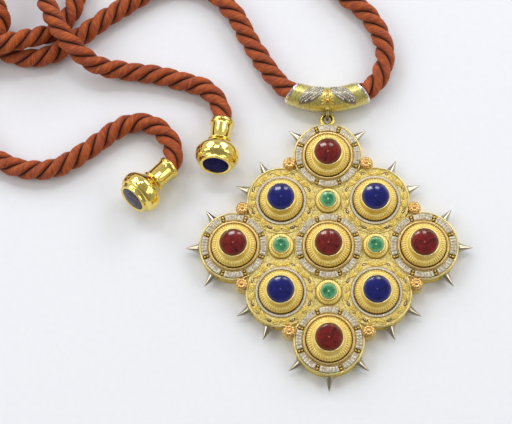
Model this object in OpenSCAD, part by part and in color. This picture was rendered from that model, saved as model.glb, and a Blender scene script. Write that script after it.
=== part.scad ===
// Enamel pendant: a nine-lobed gold case with domed enamel roundels, hung by a
// tube bail on a twisted silk cord. It lies face up. Millimetres, Z up, Y towards the bail.

/* [Case] */
// Distance between the centres of neighbouring roundels
pitch = 22.8; // [22.8:0.1:24]
// Radius of the case's round lobe under each roundel
lobe_r = 12; // [12:0.1:12.2]
// Thickness of the case from its back to the top of the lobes
case_h = 5.5; // [5.3:0.1:6.5]
// Thickness of the case's gold sheet
sheet = 0.9; // [0.7:0.05:1]

/* [Roundels] */
// Radius of a red roundel's dome at its foot
red_dome_r = 7.85; // [7.7:0.05:7.95]
// Radius of a blue roundel's dome at its foot
blue_dome_r = 7.65; // [7.5:0.05:7.7]
// Radius of the large enamel discs
enamel_r = 4.6; // [4.4:0.05:4.7]
// Height of a large roundel's bezel over the lobe
bezel_h = 5.3; // [5:0.1:5.6]
// Radius of the small green cups at their foot
cup_r = 4.35; // [4.2:0.05:4.4]
// Radius of the small green enamel discs
cup_enamel_r = 2.75; // [2.6:0.05:2.8]

/* [Spikes and rosettes] */
// Length of a spike's cone
spike_len = 4.6; // [3:0.1:6]
// Radius of a spike's collar
spike_r = 1.5; // [1:0.05:1.5]
// Radius of a rosette bead
rosette_r = 2.2; // [2:0.05:2.25]

/* [Bail] */
// Radius of the bail tube outside
bail_r = 4.4; // [4.4:0.05:4.45]
// Radius of the bend that the bail tube follows
bail_bend = 30; // [29:0.5:31]
// Half of the bail's width at its mouths
bail_half = 12; // [11.8:0.1:12.2]

/* [Cord] */
// Diameter of the twisted cord
cord_d = 7.1; // [7:0.05:7.1]
// Length of a cord finial, from its cord ring to its enamel
finial_len = 18.5; // [18:0.1:19.5]

/* [Hidden] */
$fn = 64;

// Clearance between two pieces that are set together
fit = 0.05;

// Half of the diagonal step of the grid that the roundels stand on
step = pitch / sqrt(2);
red_at = [[0, 2], [-2, 0], [0, 0], [2, 0], [0, -2]] * step;
blue_at = [[-1, 1], [1, 1], [-1, -1], [1, -1]] * step;
green_at = [[0, 1], [-1, 0], [1, 0], [0, -1]] * step;
lobe_at = concat(red_at, blue_at);

// The field between the lobes lies a little lower than they do
field_drop = 0.3;
field_h = case_h - field_drop;
// The wall of each lobe stands back between a foot rim and a top rim
rim_step = 0.25;
rim_h = 0.8;
rim_bevel = 0.4;
wall_r = lobe_r - rim_step;
cavity_r = wall_r - sheet;
back_h = 0.8;

// A rosette stands on a small round web in each of the eight outer notches
notch_out = 7.4;
notch_r = 2.4;
notch_w = 4.4;
notch_h = case_h - 0.5;
notch_mid = [[-0.5, 1.5], [0.5, 1.5], [-1.5, 0.5], [1.5, 0.5],
             [-1.5, -0.5], [1.5, -0.5], [-0.5, -1.5], [0.5, -1.5]] * step;
notch_dir = [for (m = notch_mid) [sign(m[0]), sign(m[1])] / sqrt(2)];
rosette_at = [for (i = [0:7]) notch_mid[i] + notch_dir[i] * notch_out];

// The relief of leaves round each blue roundel, two leaves to each eighth
leaf_h = 0.45;
leaf_root = 0.6;
leaf_ring_in = 8.85;
leaf_ring_out = 9.9;
leaf_mid_r = 9.5;
leaf_r = 1.5;
leaf_turn = 9.5;

// Dome, collar and bezel of a large roundel, as heights over the lobe
collar_out = 8.8;
collar_in = 8.1;
collar_h = 0.95;
groove_h = 0.3;
shoulder_h = 1.2;
shoulder_r = 1.5;
shoulder_end = 75;
bezel_w = 0.45;
seat_drop = 0.55;
enamel_dome = 0.5;
pave_out = 8.7;
pave_h = 0.95;

// The eight diamond-set bars round each red roundel
bar_in = 9.05;
bar_out = 11.25;
bar_turn = 37;
bar_h = 0.95;
bar_bevel = 0.35;

// Small green cups
cup_bezel_h = 2.4;
cup_shoulder_h = 0.7;
cup_bezel_w = 0.3;
cup_groove_w = 0.3;
cup_groove_h = 0.35;

// Spikes: each row is a lobe's place on the grid, its outward angle, and turns from it
spike_z = 2.6;
collar_len = 0.5;
spike_gap = 0.1;
corner_turn = 53;
edge_turn = 21;
spike_rows = [
    [[0, 2], 90, [-corner_turn, corner_turn]],
    [[-2, 0], 180, [-corner_turn, 0, corner_turn]],
    [[2, 0], 0, [-corner_turn, 0, corner_turn]],
    [[0, -2], 270, [-corner_turn, 0, corner_turn]],
    [[-1, 1], 138, [-edge_turn, edge_turn]],
    [[1, 1], 42, [-edge_turn, edge_turn]],
    [[-1, -1], 228, [-edge_turn, edge_turn]],
    [[1, -1], 312, [-edge_turn, edge_turn]]
];

// Eyelet on the top lobe, and the hook under the bail that passes through it
eyelet_wire = 0.65;
eyelet_loop = 2;
eyelet_z = 2.75;
eyelet_y = 2 * step + lobe_r + 2.25;
eyelet_neck_w = 2.2;
eyelet_neck_h = 1;
hook_wire = 0.6;
hook_loop = 1.9;
hook_y = eyelet_y + eyelet_loop + 0.1;

// Bail tube: a bend whose middle is nearest the pendant
ring_r = 4.55;
ring_bore = 3.95;
ring_w = 1;
bail_bore = 3.85;
bail_y = 53.45;
bail_z = ring_r;
bend_y = bail_y + bail_bend;
mouth_turn = asin(bail_half / bail_bend);
mouth_y = bend_y - bail_bend * cos(mouth_turn);
mouth_slant = 39;
// Leaf outline on the bail: a lens between its root and its tip
bail_leaf_root = [1.2, 56.5];
bail_leaf_tip = [10, 51.3];
bail_leaf_w = 4.6;
bail_leaf_t = 0.45;
// Place of the flower bead and of the bead over the hook, across the tube
flower_y = 51.7;
flower_bead_r = 0.85;
hook_bead_y = 49.4;
hook_bead_r = 0.75;

// Finials: the cord ring rests on the ground and the bulb is tilted up a little
finial_pitch = 16;
finial_z = 4.07;
finial_ring_r = 4.25;
neck_r = 3.7;
bead_at = 8.4;
bead_r = 0.35;
bulb_r = 7.65;
bulb_at = 13.8;
bulb_back = 2.5;
bulb_wall = 0.9;
bezel_foot = 16.3;
finial_at = [[-37.04, 45.46], [-55.42, 28.99]];
finial_yaw = [264.4, 228.2];
finial_enamel_r = 4.5;
finial_seat = finial_len - 0.5;

// Knot: the closed outer form of a core and three lobes, and a short stub for each strand
knot_at = [-129.5, 84.3];
knot_core_r = 11.5;
knot_core_drop = 0.5;
knot_lobe_r = 7;
knot_lobe_out = 8.8;
knot_h = 14.2;
knot_edge = 4.5;
stub_len = 8;

// Routes of the cord, chosen by hand; each row is x, y and height of its middle
neck_left_route = [
    [0, 53.45, 4.55], [-4.2, 53.75, 4.55], [-8.3, 54.6, 4.55], [-12, 55.95, 4.5],
    [-17, 60.2, 4.1], [-22.5, 67.8, 3.55], [-28.2, 77.3, 3.55], [-33.5, 87.2, 3.55],
    [-41, 95.5, 3.55], [-51, 100, 3.55], [-61.5, 98.3, 3.55], [-71.5, 92, 3.55],
    [-82.4, 84.4, 3.55], [-91.4, 77.4, 3.55], [-100, 71.8, 3.55], [-109.5, 70.7, 3.55],
    [-117.9, 74.2, 3.55]
];
neck_right_route = [
    [0, 53.45, 4.55], [4.2, 53.75, 4.55], [8.3, 54.6, 4.55], [12, 55.95, 4.5],
    [17.5, 60.5, 4], [20.7, 69.5, 3.55], [19.3, 77.8, 3.55], [14.3, 86.9, 3.55],
    [5, 95.8, 3.55], [-3.5, 107.5, 3.55], [-8, 124, 3.55], [-11.5, 142, 3.55],
    [-20, 159, 3.55], [-35, 171, 3.55], [-53, 172.5, 3.55], [-69, 163.5, 3.55],
    [-79, 149, 3.55], [-83, 131, 3.55], [-86.5, 113, 3.55], [-91, 95, 3.55],
    [-93.9, 87, 3.55], [-99, 81, 3.9], [-105.4, 77.3, 7.3], [-111.5, 74.6, 10.35],
    [-117.5, 73.2, 10.9]
];
tail_1_route = [
    [-126.3, 100.5, 5], [-122.2, 106.8, 4.2], [-115.3, 109.1, 4], [-108.2, 106.5, 4.2],
    [-104.5, 100.2, 5.6], [-101.5, 91, 9.2], [-97.3, 82.2, 10.9], [-91.4, 73.3, 10.85],
    [-83.1, 67, 7], [-73.5, 65.3, 4], [-62, 63.8, 3.55], [-51, 61, 3.55],
    [-43, 58, 3.55], [-38.3, 52.2, 3.55], [-37.04, 45.46, 4.07]
];
tail_2_route = [
    [-130.3, 68.3, 3.55], [-131, 56, 3.55], [-128, 44, 3.55], [-119.5, 34.3, 3.55],
    [-108, 28.8, 3.55], [-96, 29, 3.55], [-84.2, 35.9, 3.55], [-74.6, 43.2, 3.55],
    [-66.6, 45.9, 3.55], [-59.6, 43.4, 3.55], [-55.2, 38.2, 3.55], [-54.1, 32.8, 3.7],
    [-55.42, 28.99, 4.07]
];
// The right side of the neck loop turns towards the knot where it ends
neck_right_end = [-0.94, 0.34, 0];
cord_sides = 10;

// Points along an arc of radius r round c, from angle a0 to angle a1
function arc(c, r, a0, a1, n) =
    [for (i = [0:n]) let (a = a0 + (a1 - a0) * i / n) [c[0] + r * cos(a), c[1] + r * sin(a)]];

function unit(v) = v / norm(v);

function flat_dir(yaw, pitch) = [cos(pitch) * cos(yaw), cos(pitch) * sin(yaw), sin(pitch)];

module at(place, z) {
    translate([place[0], place[1], z]) children();
}

// Turns a piece that is drawn along Z to point along dir
module point_along(dir) {
    rotate([0, acos(dir[2] / norm(dir)), atan2(dir[1], dir[0])]) children();
}

// One lobe of the case: a round foot rim, a wall that stands back and a top rim
module lobe() {
    rotate_extrude()
        polygon([
            [0, 0], [lobe_r - rim_bevel, 0], [lobe_r, rim_bevel], [lobe_r, rim_h],
            [wall_r, rim_h + rim_step], [wall_r, case_h - rim_h - rim_step],
            [lobe_r, case_h - rim_h], [lobe_r, case_h - rim_bevel],
            [lobe_r - rim_bevel, case_h], [0, case_h]
        ]);
}

module notch_web(i) {
    at(notch_mid[i], 0)
        rotate([0, 0, atan2(notch_dir[i][1], notch_dir[i][0])])
            linear_extrude(height = notch_h) {
                translate([notch_out, 0]) circle(r = notch_r);
                translate([-1, -notch_w / 2]) square([notch_out + 1, notch_w]);
            }
}

// Outline of the case's inside, or of a plate that fits in it with the given gap all round
module inside_outline(gap) {
    for (p = lobe_at) translate(p) circle(r = cavity_r - gap, $fn = 96);
    rotate([0, 0, 45]) square(2 * (pitch - gap), center = true);
}

module leaf_relief() {
    linear_extrude(height = leaf_h + leaf_root)
        difference() {
            union() {
                circle(r = leaf_ring_out);
                for (k = [0:7], side = [-1, 1])
                    rotate([0, 0, 45 * k + side * leaf_turn])
                        translate([leaf_mid_r, 0]) circle(r = leaf_r, $fn = 32);
            }
            circle(r = leaf_ring_in);
        }
}

module eyelet() {
    translate([0, eyelet_y, eyelet_z])
        rotate_extrude() translate([eyelet_loop, 0]) circle(r = eyelet_wire, $fn = 32);
    translate([-eyelet_neck_w / 2, eyelet_y - 2 * eyelet_loop + 1, eyelet_z - eyelet_neck_h / 2])
        cube([eyelet_neck_w, eyelet_loop - 0.7, eyelet_neck_h]);
}

module case() color("gold") {
    difference() {
        union() {
            for (p = lobe_at) at(p, 0) lobe();
            for (i = [0:7]) notch_web(i);
            rotate([0, 0, 45])
                translate([-pitch, -pitch, 0]) cube([2 * pitch, 2 * pitch, field_h]);
            for (p = blue_at) at(p, case_h - leaf_root) leaf_relief();
            eyelet();
        }
        translate([0, 0, -1])
            linear_extrude(height = case_h - sheet + 1) inside_outline(0);
        for (p = green_at) at(p, field_h) {
            cylinder(r = cup_r + cup_groove_w, h = 1);
            translate([0, 0, -cup_groove_h])
                difference() {
                    cylinder(r = cup_r + cup_groove_w, h = 1);
                    cylinder(r = cup_r + fit, h = 2, center = true);
                }
        }
    }
}

module back_plate() color("gold") {
    linear_extrude(height = back_h) inside_outline(fit);
}

module spike() {
    cylinder(r = spike_r, h = collar_len);
    translate([0, 0, collar_len])
        cylinder(r1 = spike_r - 0.25, r2 = 0.06, h = spike_len);
}

module spikes() color("lightgray") {
    for (row = spike_rows, turn = row[2])
        let (a = row[1] + turn, p = row[0] * step)
            translate([p[0], p[1], spike_z])
                rotate([0, 90, a])
                    translate([0, 0, wall_r + spike_gap]) spike();
}

// Dome outline over the lobe: rounded shoulder, hollow neck, then the bezel
function dome_outline(foot_r, glass_r) =
    let (
        bezel = glass_r + bezel_w,
        top = arc([foot_r - shoulder_r, shoulder_h], shoulder_r, 0, shoulder_end, 6),
        neck = top[6],
        hollow = neck[0] - bezel
    )
    concat(
        top,
        arc([neck[0], neck[1] + hollow], hollow, -105, -180, 5),
        [[bezel, bezel_h - 0.2], [bezel - 0.15, bezel_h], [glass_r + fit, bezel_h],
         [glass_r + fit, bezel_h - seat_drop], [0, bezel_h - seat_drop],
         [0, bezel_h - seat_drop - sheet], [bezel - 1, bezel_h - seat_drop - sheet],
         [bezel, 2.3], [foot_r - 1, sheet], [foot_r - 1, 0]]
    );

module red_boss(k) color("gold") {
    at(red_at[k], case_h + fit)
        rotate_extrude()
            polygon(concat(
                [[collar_out, 0], [collar_out, collar_h - 0.25],
                 [collar_out - 0.25, collar_h], [collar_in + 0.2, collar_h],
                 [collar_in, collar_h - 0.2], [collar_in, groove_h], [red_dome_r, groove_h]],
                dome_outline(red_dome_r, enamel_r)));
}

module blue_boss(k) color("gold") {
    at(blue_at[k], case_h + fit)
        rotate_extrude()
            polygon(concat([[blue_dome_r, 0]], dome_outline(blue_dome_r, enamel_r)));
}

// A disc of enamel with a flat back and a low domed face
module enamel(r, t, dome) {
    ball = (r * r + dome * dome) / (2 * dome);
    half = asin(r / ball);
    rotate_extrude()
        polygon(concat(
            [[0, 0], [r, 0]],
            arc([0, t + dome - ball], ball, 90 - half, 90, 6)));
}

module red_enamel(k) color("darkred") {
    at(red_at[k], case_h + fit + bezel_h - seat_drop + fit)
        enamel(enamel_r, seat_drop - 0.2, enamel_dome);
}

module blue_enamel(k) color("mediumblue") {
    at(blue_at[k], case_h + fit + bezel_h - seat_drop + fit)
        enamel(enamel_r, seat_drop - 0.2, enamel_dome);
}

module diamond_border(k) color("whitesmoke") {
    at(red_at[k], case_h + fit)
        for (i = [0:7])
            rotate([0, 0, 45 * i - bar_turn / 2])
                rotate_extrude(angle = bar_turn)
                    polygon([
                        [bar_in, 0], [bar_out, 0], [bar_out, bar_h - bar_bevel],
                        [bar_out - bar_bevel, bar_h], [bar_in + bar_bevel, bar_h],
                        [bar_in, bar_h - bar_bevel]
                    ]);
}

module pave_ring(k) color("whitesmoke") {
    at(blue_at[k], case_h + fit)
        rotate_extrude()
            polygon([
                [blue_dome_r + 0.2, 0], [pave_out, 0], [pave_out, pave_h - 0.2],
                [pave_out - 0.2, pave_h], [blue_dome_r + 0.4, pave_h],
                [blue_dome_r + 0.2, pave_h - 0.2]
            ]);
}

module green_cup(k) color("gold") {
    neck = cup_enamel_r + cup_bezel_w;
    hollow = cup_r - cup_shoulder_h - neck;
    at(green_at[k], field_h + fit)
        rotate_extrude()
            polygon(concat(
                [[0, 0], [cup_r, 0]],
                arc([cup_r - cup_shoulder_h, cup_shoulder_h], cup_shoulder_h, 0, 80, 4),
                arc([neck + hollow, 2 * cup_shoulder_h + hollow], hollow, -105, -180, 4),
                [[neck, cup_bezel_h - 0.1], [neck - 0.1, cup_bezel_h],
                 [cup_enamel_r + fit, cup_bezel_h],
                 [cup_enamel_r + fit, cup_bezel_h - seat_drop],
                 [0, cup_bezel_h - seat_drop]]));
}

module green_enamel(k) color("seagreen") {
    at(green_at[k], field_h + fit + cup_bezel_h - seat_drop + fit)
        enamel(cup_enamel_r, seat_drop - 0.15, 0.4);
}

// Eight round petals about a bead, on a low disc
module rosette(k) color("sandybrown") {
    petal_r = 0.68;
    at(rosette_at[k], case_h + fit) {
        cylinder(r = rosette_r - petal_r, h = 0.8);
        for (i = [0:7])
            rotate([0, 0, 45 * i + 22.5])
                translate([rosette_r - petal_r, 0, petal_r])
                    sphere(r = petal_r, $fn = 24);
        translate([0, 0, 0.95]) sphere(r = 0.75, $fn = 24);
    }
}

// Height of the top of the tube at a distance along Y, across its middle
function bail_top(y) = bail_z + sqrt(pow(bail_r, 2) - pow(y - bail_y, 2));

// The part of the bail's bend that has radius r, a little longer than the bail
module bail_bend_solid(r, extra) {
    translate([0, bend_y, bail_z])
        rotate([0, 0, 270 - mouth_turn - extra])
            rotate_extrude(angle = 2 * (mouth_turn + extra), $fn = 180)
                translate([bail_bend, 0]) circle(r = r, $fn = 48);
}

// Puts a piece that is drawn along Z at a mouth of the bail; side is -1 left, 1 right
module at_mouth(side) {
    translate([side * bail_half, mouth_y, bail_z])
        point_along([side * cos(mouth_slant), sin(mouth_slant), 0]) children();
}

module hook() {
    translate([0, hook_y, eyelet_z])
        rotate([0, 90, 0])
            rotate_extrude() translate([hook_loop, 0]) circle(r = hook_wire, $fn = 32);
}

module bail_tube() color("goldenrod") {
    cut = 4 * ring_r;
    difference() {
        union() {
            bail_bend_solid(bail_r, 4);
            hook();
            translate([0, flower_y, bail_top(flower_y)]) sphere(r = flower_bead_r, $fn = 24);
            translate([0, hook_bead_y, bail_top(hook_bead_y)]) sphere(r = hook_bead_r, $fn = 24);
        }
        bail_bend_solid(bail_bore, 8);
        for (side = [-1, 1])
            at_mouth(side)
                translate([-cut / 2, -cut / 2, -ring_w / 2 - fit]) cube(cut);
    }
}

module bail_ring(side) color("lightgray") {
    at_mouth(side)
        rotate_extrude()
            polygon([
                [ring_bore, -ring_w / 2], [ring_r - 0.2, -ring_w / 2],
                [ring_r, -ring_w / 4], [ring_r, ring_w / 4],
                [ring_r - 0.2, ring_w / 2], [ring_bore, ring_w / 2]
            ]);
}

// Lens-shaped outline of one leaf, from its root to its tip
module bail_leaf_outline(side) {
    root = [side * bail_leaf_root[0], bail_leaf_root[1]];
    tip = [side * bail_leaf_tip[0], bail_leaf_tip[1]];
    run = tip - root;
    mid = (root + tip) / 2;
    ball = (pow(norm(run), 2) / 4 + pow(bail_leaf_w, 2) / 4) / bail_leaf_w;
    translate(mid)
        rotate([0, 0, atan2(run[1], run[0])])
            intersection() {
                translate([0, ball - bail_leaf_w / 2]) circle(r = ball, $fn = 96);
                translate([0, bail_leaf_w / 2 - ball]) circle(r = ball, $fn = 96);
            }
}

module bail_leaves() color("whitesmoke") {
    intersection() {
        difference() {
            bail_bend_solid(bail_r + bail_leaf_t, 2);
            bail_bend_solid(bail_r + fit, 4);
        }
        translate([0, 0, bail_z + 0.6])
            linear_extrude(height = 2 * bail_r)
                for (side = [-1, 1]) bail_leaf_outline(side);
    }
}

// Direction of a route at its point i
function heading(route, i) =
    unit(route[min(i + 1, len(route) - 1)] - route[max(i - 1, 0)]);

// A ring of points round p, square to dir
function ring(p, dir) =
    let (side = unit(cross(dir, [0, 0, 1])), up = cross(side, dir))
    [for (k = [0:cord_sides - 1])
        let (a = 360 * k / cord_sides) p + cord_d / 2 * (cos(a) * side + sin(a) * up)];

// A round cord swept along a route, with its two end faces square to first and last
module cord(route, first, last) color("sienna") {
    n = len(route);
    s = cord_sides;
    rings = [for (i = [0:n - 1])
        let (dir = i == 0 ? first : i == n - 1 ? last : heading(route, i))
        ring(route[i] + (i == 0 ? fit * dir : i == n - 1 ? -fit * dir : [0, 0, 0]), dir)];
    walls = [for (i = [0:n - 2], k = [0:s - 1])
        let (a = i * s + k, b = i * s + (k + 1) % s)
        each [[a, b, a + s], [b, b + s, a + s]]];
    polyhedron(
        points = [for (r = rings) each r],
        faces = concat(
            [[for (k = [s - 1:-1:0]) k]],
            walls,
            [[for (k = [0:s - 1]) (n - 1) * s + k]]));
}

function end_heading(route) = heading(route, len(route) - 1);

module neck_cord_left() {
    cord(neck_left_route, [-1, 0, 0], end_heading(neck_left_route));
}

module neck_cord_right() {
    cord(neck_right_route, [1, 0, 0], neck_right_end);
}

module tail_cord(route, k) {
    cord(route, heading(route, 0), flat_dir(finial_yaw[k], finial_pitch));
}

// A strand's stub goes from its end face, in the direction dir, into the knot
module knot_stub(p, dir) {
    translate(p) point_along(dir) cylinder(d = cord_d, h = stub_len);
}

// A round block between two heights, with its edges rounded
module knot_block(r, low, high) {
    rotate_extrude()
        polygon(concat(
            [[0, low]],
            arc([r - knot_edge, low + knot_edge], knot_edge, -90, 0, 5),
            arc([r - knot_edge, high - knot_edge], knot_edge, 0, 90, 5),
            [[0, high]]));
}

module cord_knot() color("sienna") {
    at(knot_at, 0) {
        knot_block(knot_core_r, knot_core_drop, knot_h - knot_core_drop);
        for (i = [0:2])
            rotate([0, 0, 120 * i])
                translate([knot_lobe_out, 0, 0]) knot_block(knot_lobe_r, 0, knot_h);
    }
    knot_stub(neck_left_route[len(neck_left_route) - 1], end_heading(neck_left_route));
    knot_stub(neck_right_route[len(neck_right_route) - 1], neck_right_end);
    knot_stub(tail_1_route[0], -heading(tail_1_route, 0));
    knot_stub(tail_2_route[0], -heading(tail_2_route, 0));
}

module at_finial(k) {
    translate([finial_at[k][0], finial_at[k][1], finial_z])
        point_along(flat_dir(finial_yaw[k], finial_pitch)) children();
}

// A turned finial, open in front: cord ring, neck, bead, flared bulb and stepped bezel
module finial(k) color("gold") {
    lip = finial_enamel_r + fit;
    inner_back = bulb_back - bulb_wall;
    at_finial(k)
        rotate_extrude()
            polygon(concat(
                [[0, 0], [finial_ring_r - 0.2, 0], [finial_ring_r, 0.2],
                 [finial_ring_r, 1], [finial_ring_r - 0.3, 1.3], [neck_r, 1.6]],
                arc([neck_r + 0.15, bead_at], bead_r, -90, 90, 4),
                arc([bulb_r - bulb_back, bulb_at], bulb_back, -42, 0, 5),
                [[bulb_r - 0.15, bulb_at + 1.5], [bulb_r - 0.35, bezel_foot],
                 [bulb_r - 0.75, bezel_foot + 0.4], [6, bezel_foot + 0.7],
                 [5.7, finial_len - 0.2], [5.5, finial_len], [lip, finial_len],
                 [lip, finial_seat], [lip - 0.7, finial_seat], [lip - 0.7, bezel_foot],
                 [bulb_r - 2, bezel_foot - 0.5]],
                arc([bulb_r - bulb_back, bulb_at], inner_back, 30, -42, 5),
                [[neck_r - 0.5, 9.9], [0, 9.9]]));
}

module finial_enamel(k) color("navy") {
    at_finial(k)
        translate([0, 0, finial_seat + fit]) enamel(finial_enamel_r, 0.35, 0.3);
}

case();
back_plate();
spikes();
for (k = [0:4]) {
    red_boss(k);
    red_enamel(k);
    diamond_border(k);
}
for (k = [0:3]) {
    blue_boss(k);
    blue_enamel(k);
    pave_ring(k);
    green_cup(k);
    green_enamel(k);
}
for (k = [0:7])
    rosette(k);
bail_tube();
bail_ring(-1);  // bail_ring_left
bail_ring(1);  // bail_ring_right
bail_leaves();
neck_cord_left();
neck_cord_right();
tail_cord(tail_1_route, 0);  // tail_cord_1
tail_cord(tail_2_route, 1);  // tail_cord_2
cord_knot();
for (k = [0:1]) {
    finial(k);
    finial_enamel(k);
}
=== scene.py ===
# Looks of the enamel pendant on its twisted silk cord. Lengths are millimetres
# until a mesh is made, which is in metres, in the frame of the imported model.
from math import asin, atan2, cos, exp, hypot, pi, radians, sin, sqrt, tan

import bpy
from mathutils import Matrix, Vector, noise


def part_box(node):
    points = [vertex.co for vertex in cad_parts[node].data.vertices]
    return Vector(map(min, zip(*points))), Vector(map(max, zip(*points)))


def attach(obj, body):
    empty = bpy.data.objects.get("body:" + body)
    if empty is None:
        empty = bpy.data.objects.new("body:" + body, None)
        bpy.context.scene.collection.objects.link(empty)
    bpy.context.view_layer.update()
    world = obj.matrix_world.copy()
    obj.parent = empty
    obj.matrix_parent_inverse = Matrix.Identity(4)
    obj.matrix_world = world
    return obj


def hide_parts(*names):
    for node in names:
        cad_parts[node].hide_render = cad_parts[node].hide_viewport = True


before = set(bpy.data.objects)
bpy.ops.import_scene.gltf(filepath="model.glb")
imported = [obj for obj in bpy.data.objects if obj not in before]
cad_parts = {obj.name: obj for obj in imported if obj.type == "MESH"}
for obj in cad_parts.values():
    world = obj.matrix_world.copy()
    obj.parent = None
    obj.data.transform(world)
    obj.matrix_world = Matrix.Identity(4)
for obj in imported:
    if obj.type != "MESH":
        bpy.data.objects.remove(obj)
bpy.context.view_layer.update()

scene = bpy.context.scene
MM = 0.001
UP = Vector((0, 0, 1))


# Camera

VIEW_ELEVATION = 74.196
VIEW_AZIMUTH = -9.691
VIEW_ROLL = -9.537
VIEW_DISTANCE = 436.33
VIEW_TARGET = Vector((-25.06, 13.65, 0))
VIEW_FOCAL_PX = 1250
IMAGE_WIDTH_PX = 512
SENSOR_WIDTH = 36


def make_camera():
    elevation, azimuth, roll = (radians(a) for a in (VIEW_ELEVATION, VIEW_AZIMUTH, VIEW_ROLL))
    out = cos(elevation)
    ahead = Vector((out * sin(azimuth), out * cos(azimuth), -sin(elevation)))
    level = ahead.cross(UP).normalized()
    upright = level.cross(ahead)
    right = cos(roll) * level + sin(roll) * upright
    above = -sin(roll) * level + cos(roll) * upright
    data = bpy.data.cameras.new("camera")
    data.sensor_width = SENSOR_WIDTH
    data.lens = SENSOR_WIDTH * VIEW_FOCAL_PX / IMAGE_WIDTH_PX
    data.clip_start = 0.01
    camera = bpy.data.objects.new("camera", data)
    turn = Matrix((right, above, -ahead)).transposed().to_4x4()
    camera.matrix_world = Matrix.Translation((VIEW_TARGET - ahead * VIEW_DISTANCE) * MM) @ turn
    scene.collection.objects.link(camera)
    scene.camera = camera


# Meshes

def mesh_from(points, faces, sharp=40, corner_uv=None):
    """A smooth mesh from points in millimetres, creased where faces meet at over sharp degrees."""
    mesh = bpy.data.meshes.new("mesh")
    mesh.from_pydata([Vector(p) * MM for p in points], [], faces)
    if corner_uv:
        layer = mesh.uv_layers.new(name="along")
        for loop, value in zip(layer.data, corner_uv):
            loop.uv = value
    mesh.validate()
    mesh.shade_smooth()
    mesh.set_sharp_from_angle(angle=radians(sharp))
    return mesh


def put(name, mesh, material, replaced=(), place=None):
    """Puts a piece that uses the mesh in the scene, riding on the one body."""
    piece = bpy.data.objects.new(name, mesh)
    if not mesh.materials:
        mesh.name = name
        mesh.materials.append(material)
    if place is not None:
        piece.matrix_world = place
    scene.collection.objects.link(piece)
    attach(piece, "root")
    if replaced:
        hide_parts(*replaced)
    return piece


def put_each(node, part, shape, sharp, material, centres, height, turn=0):
    """Puts a mesh of the shape at each centre, as that part of the nodes node_1, node_2 and so on,
    or of no node. Each next piece is turned on by turn degrees."""
    mesh = mesh_from(*shape, sharp=sharp)
    for i, (x, y) in enumerate(centres, 1):
        whole = f"{node}_{i}"
        name, replaced = (f"{whole}_{part}", [whole]) if node else (f"{part}_{i}", ())
        put(name, mesh, material, replaced, at(x, y, height, turn * i))


def heading(azimuth, elevation):
    """The unit vector that way. Azimuth 0 is +X and 90 is +Y."""
    turn, up = radians(azimuth), radians(elevation)
    return Vector((cos(up) * cos(turn), cos(up) * sin(turn), sin(up)))


def turned(degrees, axis="Z"):
    return Matrix.Rotation(radians(degrees), 4, axis)


def at(x, y, z, turn=0):
    """A place in millimetres, turned about Z by degrees."""
    return Matrix.Translation(Vector((x, y, z)) * MM) @ turned(turn)


def shift(x, y, z=0, turn=0):
    """As at, for points that are still in millimetres."""
    return Matrix.Translation((x, y, z)) @ turned(turn)


def middle(node):
    """Middle of a CAD node in plan, in millimetres."""
    low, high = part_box(node)
    return (low.x + high.x) / 2 / MM, (low.y + high.y) / 2 / MM


def arc(centre, radius, start, end, steps):
    """Points of an arc in an outline, from start to end degrees."""
    angles = [radians(start + (end - start) * i / steps) for i in range(steps + 1)]
    return [(centre[0] + radius * cos(a), centre[1] + radius * sin(a)) for a in angles]


def curve(start, pull, end, steps):
    """Points of a curved stretch that bends towards pull, without its start."""
    points = []
    for i in range(1, steps + 1):
        t = i / steps
        points.append(tuple((1 - t) ** 2 * a + 2 * t * (1 - t) * b + t * t * c
                            for a, b, c in zip(start, pull, end)))
    return points


def lathe(outline, segments, ripple=None):
    """Points and faces of an outline of (radius, height) turned about Z.
    ripple(angle, radius, height) gives the radius and height to use there instead."""
    points, faces, rows = [], [], []
    for radius, height in outline:
        if radius < 1e-6:
            rows.append([len(points)] * segments)
            points.append((0, 0, height))
            continue
        row = []
        for k in range(segments):
            angle = 2 * pi * k / segments
            r, z = ripple(angle, radius, height) if ripple else (radius, height)
            row.append(len(points))
            points.append((r * cos(angle), r * sin(angle), z))
        rows.append(row)
    for low, high in zip(rows, rows[1:]):
        for k in range(segments):
            n = (k + 1) % segments
            face = [low[k], low[n], high[n], high[k]]
            face = [v for i, v in enumerate(face) if v not in face[:i]]
            if len(face) > 2:
                faces.append(face)
    return points, faces


def join(parts):
    """One list of points and faces from several, each moved by its matrix."""
    points, faces = [], []
    for matrix, (more_points, more_faces) in parts:
        base = len(points)
        points += [matrix @ Vector(p) for p in more_points]
        faces += [[base + i for i in face] for face in more_faces]
    return points, faces


def lathe_closed(outline, segments):
    """As lathe, for an outline that closes on itself."""
    points, faces = lathe(outline + outline[:1], segments)
    last = len(outline) * segments
    return points[:last], [[v - last if v >= last else v for v in face] for face in faces]


def ball(radius, rings=8, segments=16):
    return lathe(arc((0, 0), radius, -90, 90, rings), segments)


def walls(count, rings):
    """Faces between rings of count points each, one above the other."""
    faces = []
    for low in range(0, count * (rings - 1), count):
        for k in range(count):
            n = (k + 1) % count
            faces.append((low + k, low + n, low + count + n, low + count + k))
    return faces


def slab(top, low, columns, flip=False):
    """A closed sheet from a grid of points, row by row, and the grid that lies under it."""
    width = columns + 1
    rows = len(top) // width - 1
    count = len(top)
    faces = []
    for i in range(rows):
        for j in range(columns):
            a = i * width + j
            faces.append((a, a + 1, a + width + 1, a + width))
    faces += [tuple(count + v for v in reversed(face)) for face in faces]
    edge = list(range(width)) + [i * width + columns for i in range(1, rows + 1)]
    edge += [rows * width + j for j in range(columns - 1, -1, -1)]
    edge += [i * width for i in range(rows - 1, 0, -1)]
    faces += [(b, a, count + a, count + b) for a, b in zip(edge, edge[1:] + edge[:1])]
    if flip:
        faces = [face[::-1] for face in faces]
    return top + low, faces


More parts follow.
